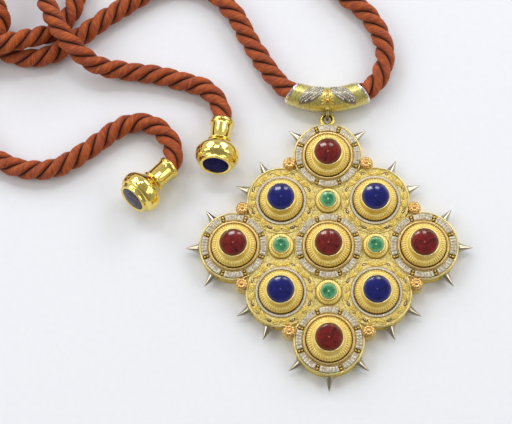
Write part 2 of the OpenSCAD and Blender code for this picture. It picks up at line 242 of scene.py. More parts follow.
def wire(line, radius, sides=8, taper=4):
    """A closed wire along a line, which draws in over the few points next to each end."""
    points = []
    last = len(line) - 1
    for i, (p, way) in enumerate(zip(line, tangents(line, False))):
        side = way.cross(UP).normalized()
        up = side.cross(way)
        near = min(1, i / taper, (last - i) / taper)
        r = radius * sqrt(max(0.02, 1 - (1 - near) ** 2))
        for k in range(sides):
            a = 2 * pi * k / sides
            points.append(p + r * (cos(a) * side + sin(a) * up))
    ends = [list(reversed(range(sides))), [last * sides + k for k in range(sides)]]
    return points, walls(sides, len(line)) + ends


def tangents(line, closed):
    count = len(line)
    if closed:
        return [(line[(i + 1) % count] - line[i - 1]).normalized() for i in range(count)]
    return [(line[min(i + 1, count - 1)] - line[max(i - 1, 0)]).normalized() for i in range(count)]


# Materials

class Nodes:
    """The node tree of a new material or world, with short calls for the nodes that are used."""

    def __init__(self, name, home=bpy.data.materials, shader="Principled BSDF"):
        self.material = home.new(name)
        self.material.use_nodes = True
        self.tree = self.material.node_tree
        self.shader = self.tree.nodes[shader]

    def feed(self, socket, value):
        if isinstance(value, bpy.types.NodeSocket):
            self.tree.links.new(value, socket)
        else:
            socket.default_value = value

    def add(self, kind, inputs=(), **values):
        """A new node with those settings, and with a value or a link in each input named."""
        node = self.tree.nodes.new(kind)
        for key, value in values.items():
            setattr(node, key, value)
        for key, value in dict(inputs).items():
            self.feed(node.inputs[key], value)
        return node

    def math(self, operation, *terms):
        return self.add("ShaderNodeMath", enumerate(terms), operation=operation).outputs[0]

    def times(self, a, b):
        return self.math("MULTIPLY", a, b)

    def place(self):
        """The piece's own coordinates in millimetres."""
        inputs = {0: self.add("ShaderNodeTexCoord").outputs["Object"], "Scale": 1 / MM}
        return self.add("ShaderNodeVectorMath", inputs, operation="SCALE").outputs[0]

    def split(self, vector):
        return self.add("ShaderNodeSeparateXYZ", {0: vector}).outputs

    def vector(self, *parts):
        return self.add("ShaderNodeCombineXYZ", enumerate(parts)).outputs[0]

    def noise(self, place, scale, detail=2.0, distortion=0.0):
        inputs = {"Vector": place, "Scale": scale, "Detail": detail, "Distortion": distortion}
        return self.add("ShaderNodeTexNoise", inputs).outputs["Fac"]

    def cells(self, place, scale):
        """A grey level of its own for each small cell of space."""
        node = self.add("ShaderNodeTexVoronoi", {"Vector": place, "Scale": scale})
        return self.add("ShaderNodeSeparateColor", {0: node.outputs["Color"]}).outputs[0]

    def ramp(self, value, *stops):
        node = self.add("ShaderNodeValToRGB", {0: value})
        stop = node.color_ramp.elements
        while len(stop) < len(stops):
            stop.new(0.5)
        for element, (position, colour) in zip(stop, stops):
            element.position = position
            element.color = (*colour, 1)
        return node.outputs[0]

    def step(self, value, low, high):
        """0 below low and 1 above high."""
        inputs = {"Value": value, "From Min": low, "From Max": high}
        return self.add("ShaderNodeMapRange", inputs, interpolation_type="SMOOTHSTEP").outputs[0]

    def mix(self, factor, a, b):
        a, b = (c if isinstance(c, bpy.types.NodeSocket) else (*c, 1) for c in (a, b))
        inputs = {"Factor": factor, 6: a, 7: b}
        return self.add("ShaderNodeMix", inputs, data_type="RGBA").outputs[2]

    def length(self, x, y):
        """How far (x, y) lies from the middle."""
        squares = self.math("ADD", self.times(x, x), self.times(y, y))
        return self.math("SQRT", squares)

    def bump(self, height, distance):
        inputs = {"Height": height, "Distance": distance * MM}
        self.set(Normal=self.add("ShaderNodeBump", inputs).outputs[0])

    def set(self, **values):
        for key, value in values.items():
            self.feed(self.shader.inputs[key.replace("_", " ")], value)


LEMON_GOLD = (0.90, 0.70, 0.15)
YELLOW_GOLD = (0.84, 0.61, 0.08)
PALE_GOLD = (0.85, 0.70, 0.26)
FIELD_GOLD = (0.55, 0.41, 0.12)
ORANGE_GOLD = (0.86, 0.62, 0.27)
GREEN_GOLD = (0.78, 0.69, 0.22)
OLIVE_GOLD = (0.52, 0.42, 0.07)
ROSE_GOLD = (0.78, 0.50, 0.19)
WHITE_GOLD = (0.84, 0.78, 0.70)
# painted shade for the grooves round the domes, cups, collars and pave bands, and inside the eyelet
PAINTED_SHADE = (0.07, 0.030, 0.004)


def satin_gold(name, light, dark, roughness, grain=0.02, grain_scale=2.2, foot=None, coat=0.0):
    """Cast gold: a little colour change over the piece, a fine uneven surface, painted shade below
    the height foot, which is the groove that the piece stands in, and a clear soft film."""
    n = Nodes(name)
    place = n.place()
    fine = n.noise(place, grain_scale, 4)
    colour = n.mix(n.step(n.noise(place, 0.35, 3), 0.35, 0.65), dark, light)
    if foot is not None:
        height = n.split(place)[2]
        # painted shade: darker towards the foot, down in the groove round the piece
        colour = n.mix(n.step(height, foot * 0.2, foot), PAINTED_SHADE, colour)
    n.set(Base_Color=colour, Metallic=1.0)
    n.set(Roughness=n.math("MULTIPLY_ADD", fine, 0.18, roughness - 0.09))
    n.set(Coat_Weight=coat, Coat_Roughness=0.3, Coat_IOR=2.1)
    n.bump(fine, grain)
    return n.material


def polished(name, colour, roughness, wear_and_painted_reflection=None, shade_within=None):
    """Polished metal, with patches of another colour where one is given, which are wear on most pieces
    and painted dark reflections on the spikes, and painted shade within a radius of the piece's own
    axis where one is given."""
    n = Nodes(name)
    place = n.place()
    # the second tone is wear, and on the spikes painted dark reflections
    tone = n.mix(n.step(n.noise(place, 0.5, 4), 0.42, 0.7), colour, wear_and_painted_reflection or [c * 0.85 for c in colour])
    if shade_within is not None:
        out = n.length(*n.split(place)[:2])
        # painted shade on what lies within the radius, down in the groove next to it
        tone = n.mix(n.step(out, shade_within - 0.04, shade_within + 0.04), PAINTED_SHADE, tone)
    n.set(Base_Color=tone, Metallic=1.0)
    n.set(Roughness=n.math("MULTIPLY_ADD", n.noise(place, 1.2, 3), 0.08, roughness - 0.04))
    return n.material


HATCH = 6.2
EYELET_Y = 46.49
EYELET_IN = 1.7
HOOK_BELOW = 48.6
HOOK_BROWN = (0.34, 0.25, 0.08)


def case_gold():
    """The case: stippled and hatched over its top, smooth on its outer walls, and with painted
    shade inside its eyelet."""
    n = Nodes("gold_case")
    place = n.place()
    x, y, z = n.split(place)
    top = n.step(z, CASE_TOP - 0.65, CASE_TOP - 0.5)
    across = n.math("SINE", n.times(n.math("ADD", x, y), HATCH))
    along = n.math("SINE", n.times(n.math("SUBTRACT", x, y), HATCH))
    hatch = n.times(n.times(across, along), 0.5)
    stipple = n.noise(place, 1.7, 4)
    relief = n.times(n.math("ADD", n.times(hatch, 0.5), stipple), top)
    colour = n.mix(n.step(n.noise(place, 0.25, 3), 0.3, 0.7), YELLOW_GOLD, LEMON_GOLD)
    field = n.mix(n.step(stipple, 0.34, 0.58), FIELD_GOLD, PALE_GOLD)
    colour = n.mix(top, colour, field)
    # painted shade: dark inside the eyelet, where the hole lies in shade
    far = n.length(x, n.math("SUBTRACT", y, EYELET_Y))
    colour = n.mix(n.step(far, EYELET_IN, EYELET_IN + 0.25), PAINTED_SHADE, colour)
    n.set(Base_Color=colour)
    n.set(Metallic=n.math("MULTIPLY_ADD", top, -0.35, 1.0))
    n.set(Roughness=n.math("MULTIPLY_ADD", top, 0.24, 0.24))
    n.bump(relief, 0.18)
    return n.material


def bail_gold():
    """Chased green gold with fine scratches across the tube; the hook below it is darker."""
    n = Nodes("gold_bail")
    place = n.place()
    x, y, z = n.split(place)
    chase = n.noise(n.vector(n.times(x, 4.0), y, z), 0.7, 4, 0.5)
    colour = n.mix(n.step(chase, 0.35, 0.6), OLIVE_GOLD, GREEN_GOLD)
    colour = n.mix(n.step(y, HOOK_BELOW, HOOK_BELOW + 0.8), HOOK_BROWN, colour)
    n.set(Base_Color=colour, Metallic=1.0)
    n.set(Roughness=n.math("MULTIPLY_ADD", chase, 0.2, 0.30))
    n.set(Coat_Weight=0.8, Coat_Roughness=0.3, Coat_IOR=1.8)
    n.bump(chase, 0.10)
    return n.material


def plain_enamel(name, deep, bright, coat):
    """Clouded enamel without a pattern."""
    n = Nodes(name)
    cloud = n.noise(n.place(), 0.5, 4, 0.6)
    n.set(Base_Color=n.mix(n.step(cloud, 0.4, 0.65), deep, bright), Roughness=0.4, IOR=1.1)
    n.set(Coat_Weight=coat, Coat_Roughness=0.08, Coat_IOR=1.4)
    return n.material


ENAMEL_COLOURS = {
    # deep and bright parts, painted highlight dot in the middle, thin edge
    "red": ((0.050, 0.002, 0.003), (0.25, 0.014, 0.009), (0.45, 0.10, 0.06), (0.16, 0.045, 0.012)),
    "blue": ((0.002, 0.003, 0.060), (0.008, 0.012, 0.17), (0.05, 0.07, 0.30), (0.06, 0.05, 0.12)),
    "green": ((0.012, 0.085, 0.035), (0.10, 0.42, 0.19), (0.40, 0.70, 0.45), (0.25, 0.42, 0.17)),
}


def enamel(kind, edge, rays=7.0):
    """Clear enamel over metal that is engraved with fine rays, with a small light dot in the middle as
    a painted highlight.
    It lets the metal show a little where it is thin, near the radius edge."""
    deep, bright, dot, thin = ENAMEL_COLOURS[kind]
    n = Nodes("enamel_" + kind)
    place = n.place()
    x, y = n.split(place)[:2]
    out = n.length(x, y)
    safe = n.math("MAXIMUM", out, 0.05)
    way = [n.math("DIVIDE", x, safe), n.math("DIVIDE", y, safe)]
    ray = n.noise(n.vector(*way, n.times(out, 0.06)), rays, 3)
    cloud = n.noise(place, 0.45, 4, 0.6)
    spark = n.noise(place, 2.6, 2)
    light = n.math("ADD", n.times(ray, 0.9), n.times(cloud, 0.9))
    light = n.math("ADD", light, n.times(spark, 0.45))
    colour = n.mix(n.step(light, 0.80, 1.50), deep, bright)
    colour = n.mix(n.step(out, edge - 1.3, edge), colour, thin)
    # painted highlight: a small light dot in the middle
    colour = n.mix(n.math("LESS_THAN", out, 0.28), colour, dot)
    n.set(Base_Color=colour, Metallic=0.35, Roughness=0.45, IOR=1.15)
    n.set(Coat_Weight=1.0, Coat_Roughness=0.10, Coat_IOR=1.38)
    return n.material


def stones(name, dark, light, size):
    """Small clear stones in white metal, with their facet reflections painted as greys that change from
    facet to facet.
    """
    n = Nodes(name)
    place = n.place()
    middling = [0.45 * a + 0.55 * b for a, b in zip(dark, light)]
    # painted reflections: a grey of its own for each cell, as the facets of clear stones would show
    colour = n.ramp(n.cells(place, size), (0.0, dark), (0.4, middling), (1.0, light))
    n.set(Base_Color=colour, Metallic=0.25, Roughness=0.12, IOR=2.1)
    return n.material


def silk():
    """Wrapped silk: fine threads across each strand, with painted shade that deepens into the grooves
    between the strands.
    The map gives the place across the strand, from groove to groove, and the length along the cord."""
    n = Nodes("silk")
    u, along = n.split(n.add("ShaderNodeUVMap", uv_map="along").outputs[0])[:2]
    across = n.math("FRACT", u)
    place = n.place()
    groove = n.times(n.math("ABSOLUTE", n.math("SUBTRACT", across, 0.5)), 2.0)
    lean = n.times(across, THREAD_LEAN)
    threads = n.math("SINE", n.times(n.math("ADD", along, lean), 2 * pi / THREAD_PITCH))
    streak = n.noise(n.vector(n.times(u, 1.3), n.math("ADD", along, lean), 0.0), 1.6, 4)
    patch = n.noise(place, 0.28, 4)
    body = n.mix(n.step(patch, 0.40, 0.62), SILK_ORANGE, SILK_PINK)
    body = n.mix(n.times(n.step(streak, 0.45, 0.75), 0.75), body, SILK_LIGHT)
    body = n.mix(n.times(n.step(streak, 0.55, 0.25), 0.6), body, SILK_DARK_AND_SHADE)
    body = n.mix(n.times(n.math("MULTIPLY_ADD", threads, 0.5, 0.5), 0.35), body, SILK_DARK_AND_SHADE)
    # painted shade: darker towards the grooves between the strands, and near black in them
    body = n.mix(n.times(n.step(groove, 0.30, 0.85), 0.65), body, SILK_DARK_AND_SHADE)
    colour = n.mix(n.step(groove, 0.72, 0.96), body, SILK_GROOVE_SHADE)
    n.set(Base_Color=colour, Roughness=0.62, IOR=1.4)
    n.set(Sheen_Weight=0.25, Sheen_Roughness=0.4, Sheen_Tint=(0.9, 0.40, 0.18, 1))
    n.bump(n.math("ADD", threads, n.times(streak, 2.5)), 0.04)
    return n.material


# Cord

CORD_D = 7.1
CORD_STEP = 0.8
STRANDS = 3
STRAND_LEAD = 18.4
STRAND_OUT = 1.85
STRAND_HIGH = 1.7
STRAND_WIDE = 2.05
STRAND_POINTS = 14
STRAND_LUMP = 0.09
THREAD_PITCH = 0.42
THREAD_LEAN = 1.6
SILK_ORANGE = (0.53, 0.100, 0.012)
SILK_PINK = (0.41, 0.074, 0.026)
SILK_LIGHT = (0.78, 0.20, 0.035)
# the dark silk also darkens streaks and threads, and with the last colour is painted shade towards and
# in the grooves
SILK_DARK_AND_SHADE = (0.15, 0.023, 0.005)
SILK_GROOVE_SHADE = (0.022, 0.005, 0.003)

# Routes. Where no height is given the cord lies on the surface. The point at the knot's end,
# the last of the neck's and the first of the tails', lies inside a strand of the knot.
NECK_LEFT = [
    (0, 53.45, 4.55), (-4.2, 53.75, 4.55), (-8.3, 54.6, 4.55), (-12, 55.95, 4.5),
    (-17, 60.2, 4.1), (-22.5, 67.8), (-28.2, 77.3), (-33.5, 87.2),
    (-41, 95.5), (-51, 100), (-61.5, 98.3), (-71.5, 92),
    (-82.4, 84.4), (-91.4, 77.4), (-100, 71.8), (-109.5, 70.7),
    (-117.9, 74.2), (-122.1, 77.9, 4.0),
]
NECK_RIGHT = [
    (0, 53.45, 4.55), (4.2, 53.75, 4.55), (8.3, 54.6, 4.55), (12, 55.95, 4.5),
    (17.5, 60.5, 4), (20.7, 69.5), (19.3, 77.8), (14.3, 86.9),
    (5, 95.8), (-3.5, 107.5), (-8, 124), (-11.5, 142),
    (-20, 159), (-35, 171), (-53, 172.5), (-69, 163.5),
    (-79, 149), (-83, 131), (-86.5, 113), (-91, 95),
    (-93.9, 87), (-99, 81, 3.9), (-105.4, 77.3, 7.3), (-111.5, 74.6, 10.35),
    (-117.5, 73.2, 10.9), (-126.5, 77.2, 8.2),
]
TAIL_1 = [
    (-127.6, 93.9, 4.0),
    (-126.3, 100.5, 5), (-122.2, 106.8, 4.2), (-115.3, 109.1, 4), (-108.2, 106.5, 4.2),
    (-104.5, 100.2, 5.6), (-101.5, 91, 9.2), (-97.3, 82.2, 10.9), (-91.4, 73.3, 10.85),
    (-83.1, 67, 7), (-73.5, 65.3, 4), (-62, 63.8), (-51, 61),
    (-43, 58), (-38.3, 52.2), (-37.04, 45.46, 4.07),
]
TAIL_2 = [
    (-129.8, 78.9, 4.6),
    (-130.3, 68.3, 3.55), (-131, 56), (-128, 44), (-119.5, 34.3),
    (-108, 28.8), (-96, 29), (-84.2, 35.9), (-74.6, 43.2),
    (-66.6, 45.9), (-59.6, 43.4), (-55.2, 38.2), (-54.1, 32.8, 3.7),
    (-55.42, 28.99, 4.07),
]
KNOT_AT = Vector((-129.5, 84.3, 7.1))
KNOT_SIZE = 3.6
KNOT_OPEN = 2.25
KNOT_RISE = 3.5
KNOT_POINTS = 168


def spline(route, step):
    """Points about step apart on a smooth line through the route's points."""
    knots = [Vector(p if len(p) == 3 else (*p, CORD_D / 2)) for p in route]
    knots = [2 * knots[0] - knots[1], *knots, 2 * knots[-1] - knots[-2]]
    line = []
    for a, b, c, d in zip(knots, knots[1:], knots[2:], knots[3:]):
        count = max(2, round((c - b).length / step))
        for i in range(count):
            t = i / count
            line.append(0.5 * (2 * b + (c - a) * t + (2 * a - 5 * b + 4 * c - d) * t ** 2
                               + (3 * b - a - 3 * c + d) * t ** 3))
    line.append(knots[-2])
    return line


def strand_outline():
    """Points (out, across) of a strand's ellipse, as far as it lies in its third of the cord."""
    slope = tan(pi / STRANDS)
    size = hypot(STRAND_WIDE, slope * STRAND_HIGH)
    end = atan2(slope * STRAND_HIGH, STRAND_WIDE) + asin(slope * STRAND_OUT / size)
    turns = [end * (2 * k / STRAND_POINTS - 1) for k in range(STRAND_POINTS)]
    return [(STRAND_OUT + STRAND_HIGH * cos(t), STRAND_WIDE * sin(t)) for t in turns]


def rope(line, phase=0.0, closed=False):
    """Left-handed rope about a line, as one skin with deep grooves between its strands."""
    ahead = tangents(line, closed)
    side = [ahead[0].cross(UP).normalized()]
    for way in ahead[1:]:
        side.append((side[-1] - way * side[-1].dot(way)).normalized())
    along = [0.0]
    for a, b in zip(line, line[1:]):
        along.append(along[-1] + (b - a).length)
    length = along[-1] + ((line[0] - line[-1]).length if closed else 0)
    turns = length / STRAND_LEAD
    untwist = 0.0
    passed = 0
    if closed:
        last = (side[-1] - ahead[0] * side[-1].dot(ahead[0])).normalized()
        untwist = atan2(ahead[0].dot(last.cross(side[0])), last.dot(side[0]))
        passed = round(turns * STRANDS)
        turns = passed / STRANDS
    section = strand_outline()
    sides = STRANDS * STRAND_POINTS
    points, faces, uvs = [], [], []
    for i, p in enumerate(line):
        up = ahead[i].cross(side[i])
        t = along[i] / length
        wander = 0.0 if closed else 0.22 * noise.noise(Vector((along[i] / 14, phase, 3.7)))
        for s in range(STRANDS):
            angle = phase + 2 * pi * (s / STRANDS - turns * t) + untwist * t + wander
            lump = STRAND_LUMP * noise.noise(Vector((along[i] / 2.6, 7.3 * s, phase)))
            for k, (out, across) in enumerate(section):
                swell = 1 + lump * (1 - (2 * k / STRAND_POINTS - 1) ** 2)
                r = hypot(out, across) * swell
                a = angle + atan2(across, out)
                points.append(p + r * (cos(a) * side[i] + sin(a) * up))
    rows = len(line)
    for i in range(rows if closed else rows - 1):
        j = (i + 1) % rows
        jump = passed % STRANDS * STRAND_POINTS if j == 0 else 0
        start, end = along[i], along[j] if j else length
        for k in range(sides):
            n = (k + 1) % sides
            near, far = (k - jump) % sides, (n - jump) % sides
            faces.append((i * sides + k, i * sides + n, j * sides + far, j * sides + near))
            left, right = k / STRAND_POINTS, (k + 0.9999) / STRAND_POINTS
            uvs += [(left, start), (right, start), (right, end), (left, end)]
    if not closed:
        for row, order in ((0, -1), (rows - 1, 1)):
            centre = len(points)
            points.append(line[row])
            for k in range(sides):
                pair = (row * sides + k, row * sides + (k + 1) % sides)
                faces.append((centre, *pair[::order]))
                uvs += [(0, 0)] * 3
    return mesh_from(points, faces, sharp=75, corner_uv=uvs)


def make_cord(name, node, material, route, phase):
    """A silk cord along its route."""
    line = spline(route, CORD_STEP)
    piece = put(name, rope(line, phase), material, [node])


def make_knot(material):
    """A trefoil of rope, flat on the surface."""
    line = []
    for i in range(KNOT_POINTS):
        t = 2 * pi * i / KNOT_POINTS
        out = KNOT_SIZE * (KNOT_OPEN + cos(3 * t))
        height = KNOT_RISE * sin(3 * t)
        line.append(KNOT_AT + Vector((out * cos(2 * t), out * sin(2 * t), height)))
    return put("knot", rope(line, closed=True), material, ["cord_knot"])


# Plan of the pendant

STEP = 22.8 / sqrt(2)
LOBE_R = 12
CASE_TOP = 5.5
PLATE_TOP = 5.55
RELIEF_TOP = 5.95
RED_AT = [(STEP * x, STEP * y) for x, y in ((0, 2), (-2, 0), (0, 0), (2, 0), (0, -2))]
BLUE_AT = [(STEP * x, STEP * y) for x, y in ((-1, 1), (1, 1), (-1, -1), (1, -1))]
GREEN_AT = [(STEP * x, STEP * y) for x, y in ((0, 1), (-1, 0), (1, 0), (0, -1))]
ROSETTE_AT = [middle(f"rosette_{k}") for k in range(1, 9)]


# Bosses

FLUTES = 52
FLUTE_DEPTH = 0.2
FLUTE_FROM = 5.75
BOSS_SEGMENTS = 416
COLLAR_IN = 7.9
COLLAR_OUT = 8.65
COLLAR_H = 0.95


def dome_outline(radius):
    """Section of a round boss: foot, round shoulder, hollow neck and the seat under its rim."""
    shoulder = arc((radius - 1.45, 1.25), 1.45, 0, 98, 11)
    start = (shoulder[-1][0] - 0.12, shoulder[-1][1] - 0.06)
    neck = [start] + curve(start, (5.25, 2.75), (5.12, 4.6), 7)
    return [(0, 0), (radius, 0)] + shoulder + neck + [(4.7, 4.7), (0, 4.7)]


def fluted(angle, r, height):
    """Narrow grooves over the shoulder, from the neck to just above the foot."""
    if r < FLUTE_FROM or height < 0.3:
        return r, height
    rise = min(1, (height - 0.3) / 0.5) * min(1, (r - FLUTE_FROM) / 0.4)
    depth = FLUTE_DEPTH * (1 - abs(sin(FLUTES * angle / 2))) ** 1.5 * rise
    return r - depth * 0.8, height - depth * min(1, (r - 5.0) / 1.5)


def make_bosses(dome_metal, rim_metal, collar_metal):
    """Fluted domes with a thin rim about the enamel, and a smooth collar round the red ones."""
    rim = lathe([(5.0, 4.6)] + arc((4.84, 5.0), 0.22, -60, 240, 12) + [(4.66, 4.5)], 128)
    collar = [(COLLAR_IN, 0.28), (COLLAR_IN, COLLAR_H - 0.25)]
    collar += arc((COLLAR_IN + 0.25, COLLAR_H - 0.25), 0.25, 180, 90, 5)
    collar += arc((COLLAR_OUT - 0.32, COLLAR_H - 0.32), 0.32, 90, 0, 5)
    collar += [(COLLAR_OUT, 0), (7.0, 0), (7.0, 0.28)]
    for node, radius, centres in (("red_boss", 7.65, RED_AT), ("blue_boss", 7.45, BLUE_AT)):
        dome = lathe(dome_outline(radius), BOSS_SEGMENTS, fluted)
        put_each(node, "dome", dome, 60, dome_metal, centres, PLATE_TOP)
        put_each(node, "rim", rim, 60, rim_metal, centres, PLATE_TOP)
    collar = lathe_closed(collar, 160)
    put_each("red_boss", "collar", collar, 50, collar_metal, RED_AT, PLATE_TOP)


ENAMEL_R = 4.6
ENAMEL_AT = 10.35
GREEN_R = 2.75
GREEN_ENAMEL_AT = 7.3


def enamel_outline(radius, thick, dome):
    """A round of enamel with a rounded edge and a domed top."""
    sphere = (radius ** 2 + dome ** 2) / (2 * dome)
    top = []
    for i in range(13):
        r = (radius - 0.12) * (1 - i / 12)
        top.append((r, thick + dome - sphere + sqrt(sphere ** 2 - r ** 2)))
    return [(0, 0), (radius, 0), (radius, thick - 0.1)] + top


def make_enamels(kind, centres, radius, height, material, thick=0.35, dome=0.5):
    node = kind + "_enamel"
    shape = lathe(enamel_outline(radius, thick, dome), 96)
    put_each(node, "look", shape, 50, material, centres, height, turn=40)


# Stones

BAR_IN, BAR_OUT = 9.05, 11.25
BAR_HALF = 18.5
BAR_STONES = 6
BAR_THICK = 0.62
BAR_WALL = 0.2
BAR_STEPS = 12
STONE_GAP = 0.16


def bar_setting():
    """A curved metal bed along +X with slanted upper edges."""
    inner = [(BAR_IN, BAR_HALF * (1 - 2 * i / BAR_STEPS)) for i in range(BAR_STEPS + 1)]
    outer = [(BAR_OUT, BAR_HALF * (2 * i / BAR_STEPS - 1)) for i in range(BAR_STEPS + 1)]

    def level(inset, z):
        points = []
        for r, a in outer + inner:
            sign = 1 if r == BAR_OUT else -1
            turn = radians(a) - inset / r * a / BAR_HALF
            points.append(((r - sign * inset) * cos(turn), (r - sign * inset) * sin(turn), z))
        return points

    points = level(0, 0) + level(0, BAR_THICK - 0.12) + level(0.12, BAR_THICK)
    n = 2 * BAR_STEPS + 2
    top = 2 * n
    faces = [(k + 1, k, n - 1 - k, n - 2 - k) for k in range(BAR_STEPS)]
    faces += walls(n, 3)
    faces += [(top + k, top + k + 1, top + n - 2 - k, top + n - 1 - k) for k in range(BAR_STEPS)]
    return points, faces


def cut_stone(start, end, width_start, width_end, high, corner=0.12):
    """A step-cut stone along +X with cut corners: girdle, a crown in two steps, and a flat table."""
    def ring(inset, z):
        near, far = width_start / 2 - inset, width_end / 2 - inset
        low, top, c = start + inset, end - inset, corner
        return [(low, -near + c, z), (low + c, -near, z), (top - c, -far, z), (top, -far + c, z),
                (top, far - c, z), (top - c, far, z), (low + c, near, z), (low, near - c, z)]

    points = ring(0.05, -0.2) + ring(0, 0) + ring(0.12, high * 0.6) + ring(0.26, high)
    return points, [list(reversed(range(8)))] + walls(8, 4) + [list(range(24, 32))]


def make_diamond_bars(metal, stone):
    """Eight curved bars round each red roundel, with baguette stones side by side in each."""
    settings, cuts = [], []
    pitch = (2 * BAR_HALF - 1.4) / BAR_STONES
    start, end = BAR_IN + BAR_WALL, BAR_OUT - BAR_WALL
    wide_start, wide_end = (radians(pitch) * r - STONE_GAP for r in (start, end))
    stone_shape = cut_stone(start, end, wide_start, wide_end, 0.26)
    for k in range(8):
        turn = turned(45 * k)
        settings.append((turn, bar_setting()))
        for i in range(BAR_STONES):
            across = -BAR_HALF + 0.7 + pitch * (i + 0.5)
            cuts.append((turn @ shift(0, 0, BAR_THICK, across), stone_shape))
    node = "diamond_border"
    put_each(node, "setting", join(settings), 35, metal, RED_AT, PLATE_TOP)
    put_each(node, "stones", join(cuts), 5, stone, RED_AT, PLATE_TOP)


def round_cut(radius, facets=8):
    """A round stone: girdle, sloped crown and a table."""
    high = radius * 0.45
    return lathe([(0, -0.2), (radius, -0.2), (radius, 0), (radius * 0.55, high), (0, high)], facets)


PAVE_IN = 7.72
PAVE_OUT = 8.72
PAVE_THICK = 0.7
PAVE_STONES = 62


def make_pave_rings(metal, stone):
    """A narrow band of tiny round stones round each blue roundel."""
    edge = PAVE_THICK - 0.1
    band = [(PAVE_IN - 0.18, 0), (PAVE_IN - 0.18, 0.12), (PAVE_IN, 0.12), (PAVE_IN, edge)]
    band += [(PAVE_IN + 0.1, PAVE_THICK), (PAVE_OUT - 0.1, PAVE_THICK), (PAVE_OUT, edge), (PAVE_OUT, 0)]
    cuts = []
    for k in range(PAVE_STONES):
        r = (PAVE_IN + PAVE_OUT) / 2 + 0.02 * sin(5.0 * k)
        place = turned(360 * k / PAVE_STONES) @ shift(r, 0, PAVE_THICK, 17 * k)
        cuts.append((place, round_cut(0.4)))
    node = "pave_ring"
    put_each(node, "band", lathe_closed(band, 128), 35, metal, BLUE_AT, PLATE_TOP)
    put_each(node, "stones", join(cuts), 5, stone, BLUE_AT, PLATE_TOP)


# Cups, rosettes, balls, studs, leaves and rims

CUP_AT = 5.25
CUP_BEADS = 30


def make_green_cups(cup_metal, rim_metal):
    """A ring of small beads round a short cup with a bright rim."""
    outline = [(0, 0), (4.35, 0), (4.35, 0.55)] + arc((3.75, 0.55), 0.6, 0, 90, 6)
    outline += curve((3.75, 1.15), (3.2, 1.2), (3.12, 2.1), 5) + [(2.7, 2.1), (0, 2.1)]

    def ripple(angle, r, height):
        rise = min(1, height / 0.4) * min(1, max(0, r - 3.0) / 0.4)
        depth = 0.10 * (1 - abs(sin(CUP_BEADS * angle / 2))) ** 1.5 * rise
        return r - depth, height - depth * 0.5

    cup = lathe(outline, 240, ripple)
    rim = lathe([(3.0, 2.0)] + arc((2.96, 2.22), 0.18, -60, 240, 10) + [(2.8, 1.95)], 96)
    put_each("green_cup", "look", cup, 50, cup_metal, GREEN_AT, CUP_AT)
    put_each("green_cup", "rim", rim, 60, rim_metal, GREEN_AT, CUP_AT)


ROSETTE_PETALS = 9


def make_rosettes(material):
    """Cushion-shaped flowers with rounded petals round a bead."""
    def ripple(angle, r, z):
        cut = abs(cos(ROSETTE_PETALS * angle / 2)) ** 0.5
        near = min(1, max(0, (r - 0.7) / 0.5))
        return r * (1 - near * 0.09 * (1 - cut)), z - near * 0.09 * (1 - cut)

    outline = [(0, 0), (1.7, 0), (2.0, 0.2)] + arc((1.15, 0.75), 1.0, -25, 90, 9)
    top = outline[-1][1]
    outline += [(0.95, top - 0.12), (0.78, top - 0.14)] + arc((0, top - 0.26), 0.68, 15, 90, 6)
    shape = lathe(outline, 144, ripple)
    put_each("rosette", "look", shape, 60, material, ROSETTE_AT, PLATE_TOP, turn=23)


def seats(places, radius):
    """A low round seat at each place."""
    outline = [(0, -0.2), (radius, -0.2), (radius - 0.05, -0.12), (0.3, -0.1), (0, -0.05)]
    return join([(place, lathe(outline, 20)) for place in places])


def make_ball_pairs(metal, dark):
    """Two little balls, one outside the other, in each gap between the diamond bars."""
    balls, under = [], []
    for k in range(8):
        turn = turned(22.5 + 45 * k)
        for r, size in ((9.65, 0.42), (10.6, 0.48)):
            lean = 0.12 * sin(3.1 * k + r)
            balls.append((turn @ shift(r, lean, 0.35), ball(size)))
            under.append(turn @ shift(r, lean, 0.2))
    height = PLATE_TOP - 0.05
    put_each(None, "ball_pairs", join(balls), 180, metal, RED_AT, height)
    # the seats are painted shade: a dark ring round the foot of each ball
    put_each(None, "ball_seats", seats(under, 0.68), 40, dark, RED_AT, height)


STUD_R = 9.9


def make_studs(metal, dark):
    """Tiny rings on a seat painted dark as shade, between the groups of leaves round a blue roundel."""
    places = [turned(22.5 + 45 * k) @ shift(STUD_R, 0, 0.22) for k in range(8)]
    ring = lathe_closed(arc((0.5, 0), 0.2, 0, 360, 8)[:-1], 20)
    rings = join([(place, ring) for place in places])
    put_each(None, "stud_rings", rings, 180, metal, BLUE_AT, CASE_TOP)
    # the seats are painted shade round each ring
    put_each(None, "stud_seats", seats(places, 1.0), 40, dark, BLUE_AT, CASE_TOP)


LEAF_R = 9.85
LEAF_TURN = 9.0
LEAF_LONG = 3.0
LEAF_WIDE = 1.7
LEAF_HIGH = 0.62


def leaf(ribs=5, rows=24, columns=12):
    """A small cast leaf along +Y: a pointed dome with a sunk midrib and slanting ribs."""
    top = []
    for i in range(rows + 1):
        t = i / rows
        half = LEAF_WIDE / 2 * sin(pi * min(1, 0.12 + t * 0.88)) ** 0.7
        for j in range(columns + 1):
            u = 2 * j / columns - 1
            rib = 0.5 + 0.5 * cos(2 * pi * (ribs * t - abs(u) * 0.8))
            edge = 1 - abs(u) ** 3
            rise = LEAF_HIGH * edge * (0.62 + 0.38 * rib) * sin(pi * t) ** 0.4
            sunk = 0.22 * exp(-(u / 0.16) ** 2) * sin(pi * t)
            top.append((u * half * (0.9 + 0.1 * rib), (t - 0.5) * LEAF_LONG, max(0, rise - sunk)))
    return slab(top, [(x, y, -0.15) for x, y, z in top], columns)


